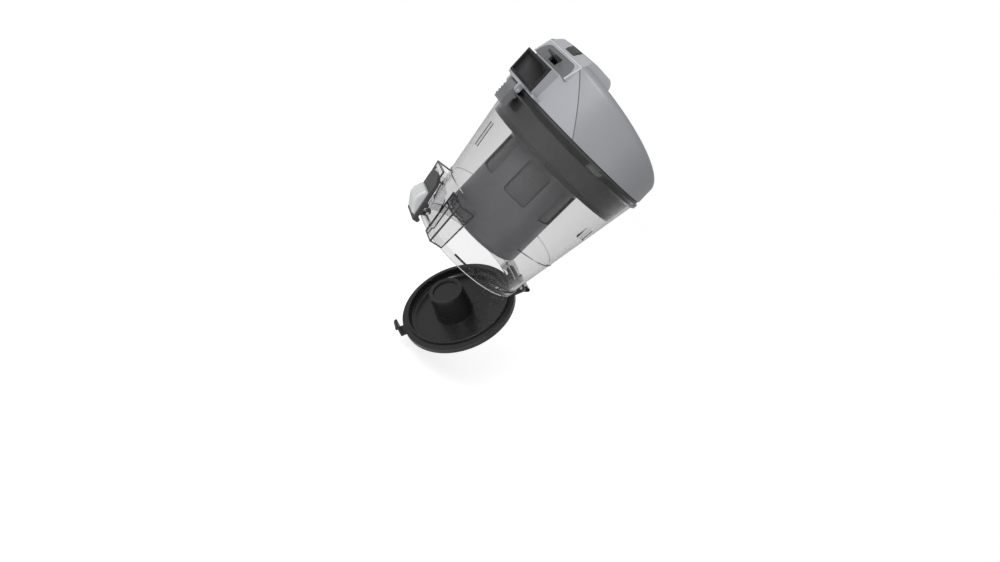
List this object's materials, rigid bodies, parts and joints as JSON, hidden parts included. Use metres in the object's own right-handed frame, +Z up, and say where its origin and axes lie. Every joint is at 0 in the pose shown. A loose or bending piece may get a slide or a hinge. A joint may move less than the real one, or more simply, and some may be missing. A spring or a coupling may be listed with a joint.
{
  "type": "vacuum dust container",
  "caption": "Clear tapered dust bin of a bagless vacuum cleaner with a drop-open bottom lid, release latch, dark cyclone core and a grey carry cover with an air duct.",
  "frame": {"origin": "centre of the bin's bottom rim, on the bin's axis", "axes": "+Z up along the bin's axis, +X towards the lid hinge, -X towards the latch, cover clip and air duct"},
  "size_m": [0.179, 0.168, 0.3287],
  "materials": {
    "clear_plastic": "clear moulded polycarbonate, polished",
    "black_plastic": "black moulded plastic, satin",
    "dark_plastic": "dark grey moulded plastic, satin",
    "pale_plastic": "milky white moulded plastic",
    "light_grey_plastic": "light grey moulded plastic, fine satin",
    "mid_grey_plastic": "mid grey moulded plastic, fine satin",
    "rubber": "black moulded rubber",
    "steel": "plain steel wire and pin",
    "foam": "open-cell filter foam"
  },
  "bodies": {
    "container": {"dust_bin": "clear_plastic", "lid_hinge_pin": "steel", "latch_pin": "steel", "latch_spring": "steel", "cyclone_head": "dark_plastic", "head_seal": "rubber", "core_tube": "dark_plastic", "core_screen": "dark_plastic", "cyclone_cone": "dark_plastic", "vortex_finder": "dark_plastic", "head_screws": "steel", "bin_seal": "rubber", "filter_frame": "dark_plastic", "foam_filter": "foam", "inlet_housing": "light_grey_plastic", "duct_liner": "dark_plastic", "dome_cover": "mid_grey_plastic", "handle": "light_grey_plastic", "catch_frame": "dark_plastic", "catch_spring": "steel", "clip_pin": "steel"},
    "lid": {"bottom_lid": "black_plastic", "lid_seal": "rubber", "plug_seal": "rubber"},
    "latch": {"latch_lever": "dark_plastic", "latch_button": "pale_plastic"},
    "catch": {"release_catch": "dark_plastic"},
    "clip": {"cover_clip": "dark_plastic"}
  },
  "joints": [
    {"name": "lid_hinge", "type": "hinge", "parent": "container", "child": "lid", "pos_m": [0.068, 0, 0.005], "axis": [0, 1, 0], "range_deg": [0, 61]},
    {"name": "latch_pivot", "type": "hinge", "parent": "container", "child": "latch", "pos_m": [-0.0725, 0, 0.014], "axis": [0, -1, 0], "range_deg": [0, 10], "stiffness_Nm_per_rad": 0.08, "springref_deg": 20.05},
    {"name": "catch_slide", "type": "slide", "parent": "container", "child": "catch", "axis": [0, 0, -1], "range_m": [0, 0.0025], "stiffness_N_per_m": 400, "springref_m": -0.003, "deforming": ["catch_spring"]},
    {"name": "clip_pivot", "type": "hinge", "parent": "container", "child": "clip", "pos_m": [-0.088, 0, 0.149], "axis": [0, 1, 0], "range_deg": [0, 25], "stiffness_Nm_per_rad": 0.05, "springref_deg": -8.59}
  ]
}
